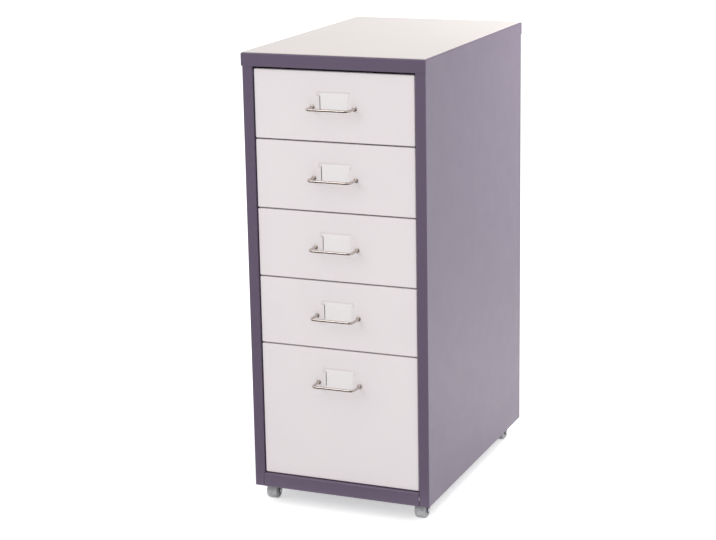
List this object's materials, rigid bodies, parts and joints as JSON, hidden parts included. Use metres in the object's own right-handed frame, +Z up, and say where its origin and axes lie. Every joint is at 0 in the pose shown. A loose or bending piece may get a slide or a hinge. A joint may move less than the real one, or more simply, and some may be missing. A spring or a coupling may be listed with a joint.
{
  "type": "drawer cabinet",
  "caption": "Small folded-steel cabinet on casters: shallow drawers over a deep one, each with a wire pull and a pressed label holder, sliding on angle runners.",
  "frame": {"origin": "on the floor, in the middle of the whole object's footprint", "axes": "+Z up; the drawers open towards -Y; +X is on the right of someone who faces the drawers"},
  "size_m": [0.28, 0.454, 0.678],
  "materials": {
    "frame_paint": "satin mauve-grey powder coat",
    "top_paint": "satin off-white powder coat",
    "drawer_paint": "satin off-white powder coat",
    "zinc": "bright zinc plate",
    "chrome": "polished plate",
    "wheel": "matte grey",
    "caster_paint": "satin dark grey paint",
    "card": "plain card"
  },
  "bodies": {
    "carcass": {"top_cap": "frame_paint", "top_sheet": "top_paint", "left_side_panel": "frame_paint", "right_side_panel": "frame_paint", "back_panel": "frame_paint", "base_panel": "frame_paint", "left_runner_1": "zinc", "right_runner_1": "zinc", "left_runner_2": "zinc", "right_runner_2": "zinc", "left_runner_3": "zinc", "right_runner_3": "zinc", "left_runner_4": "zinc", "right_runner_4": "zinc", "left_runner_5": "zinc", "right_runner_5": "zinc", "caster_plate_front_left": "caster_paint", "caster_plate_front_right": "caster_paint", "caster_plate_rear_left": "caster_paint", "caster_plate_rear_right": "caster_paint", "caster_screws": "zinc", "panel_screws": "zinc"},
    "drawer_1": {"drawer_front_1": "drawer_paint", "drawer_tray_1": "drawer_paint", "handle_1": "chrome", "handle_nuts_1": "zinc", "label_card_1": "card"},
    "drawer_2": {"drawer_front_2": "drawer_paint", "drawer_tray_2": "drawer_paint", "handle_2": "chrome", "handle_nuts_2": "zinc", "label_card_2": "card"},
    "drawer_3": {"drawer_front_3": "drawer_paint", "drawer_tray_3": "drawer_paint", "handle_3": "chrome", "handle_nuts_3": "zinc", "label_card_3": "card"},
    "drawer_4": {"drawer_front_4": "drawer_paint", "drawer_tray_4": "drawer_paint", "handle_4": "chrome", "handle_nuts_4": "zinc", "label_card_4": "card"},
    "drawer_5": {"drawer_front_5": "drawer_paint", "drawer_tray_5": "drawer_paint", "handle_5": "chrome", "handle_nuts_5": "zinc", "label_card_5": "card"},
    "swivel_front_left": {"caster_fork_front_left": "caster_paint", "caster_axle_front_left": "zinc"},
    "wheel_front_left": {"caster_wheel_front_left": "wheel"},
    "swivel_front_right": {"caster_fork_front_right": "caster_paint", "caster_axle_front_right": "zinc"},
    "wheel_front_right": {"caster_wheel_front_right": "wheel"},
    "swivel_rear_left": {"caster_fork_rear_left": "caster_paint", "caster_axle_rear_left": "zinc"},
    "wheel_rear_left": {"caster_wheel_rear_left": "wheel"},
    "swivel_rear_right": {"caster_fork_rear_right": "caster_paint", "caster_axle_rear_right": "zinc"},
    "wheel_rear_right": {"caster_wheel_rear_right": "wheel"}
  },
  "joints": [
    {"name": "drawer_1_slide", "type": "slide", "parent": "carcass", "child": "drawer_1", "axis": [0, -1, 0], "range_m": [0, 0.3]},
    {"name": "drawer_2_slide", "type": "slide", "parent": "carcass", "child": "drawer_2", "axis": [0, -1, 0], "range_m": [0, 0.3]},
    {"name": "drawer_3_slide", "type": "slide", "parent": "carcass", "child": "drawer_3", "axis": [0, -1, 0], "range_m": [0, 0.3]},
    {"name": "drawer_4_slide", "type": "slide", "parent": "carcass", "child": "drawer_4", "axis": [0, -1, 0], "range_m": [0, 0.3]},
    {"name": "drawer_5_slide", "type": "slide", "parent": "carcass", "child": "drawer_5", "axis": [0, -1, 0], "range_m": [0, 0.3]},
    {"name": "swivel_front_left_turn", "type": "hinge", "parent": "carcass", "child": "swivel_front_left", "pos_m": [-0.119, -0.171, 0.0326], "axis": [0, 0, 1], "continuous": true},
    {"name": "wheel_front_left_roll", "type": "hinge", "parent": "swivel_front_left", "child": "wheel_front_left", "pos_m": [-0.119, -0.179, 0.012], "axis": [1, 0, 0], "continuous": true},
    {"name": "swivel_front_right_turn", "type": "hinge", "parent": "carcass", "child": "swivel_front_right", "pos_m": [0.119, -0.171, 0.0326], "axis": [0, 0, 1], "continuous": true},
    {"name": "wheel_front_right_roll", "type": "hinge", "parent": "swivel_front_right", "child": "wheel_front_right", "pos_m": [0.119, -0.179, 0.012], "axis": [1, 0, 0], "continuous": true},
    {"name": "swivel_rear_left_turn", "type": "hinge", "parent": "carcass", "child": "swivel_rear_left", "pos_m": [-0.119, 0.193, 0.0326], "axis": [0, 0, 1], "continuous": true},
    {"name": "wheel_rear_left_roll", "type": "hinge", "parent": "swivel_rear_left", "child": "wheel_rear_left", "pos_m": [-0.119, 0.185, 0.012], "axis": [1, 0, 0], "continuous": true},
    {"name": "swivel_rear_right_turn", "type": "hinge", "parent": "carcass", "child": "swivel_rear_right", "pos_m": [0.119, 0.193, 0.0326], "axis": [0, 0, 1], "continuous": true},
    {"name": "wheel_rear_right_roll", "type": "hinge", "parent": "swivel_rear_right", "child": "wheel_rear_right", "pos_m": [0.119, 0.185, 0.012], "axis": [1, 0, 0], "continuous": true}
  ]
}
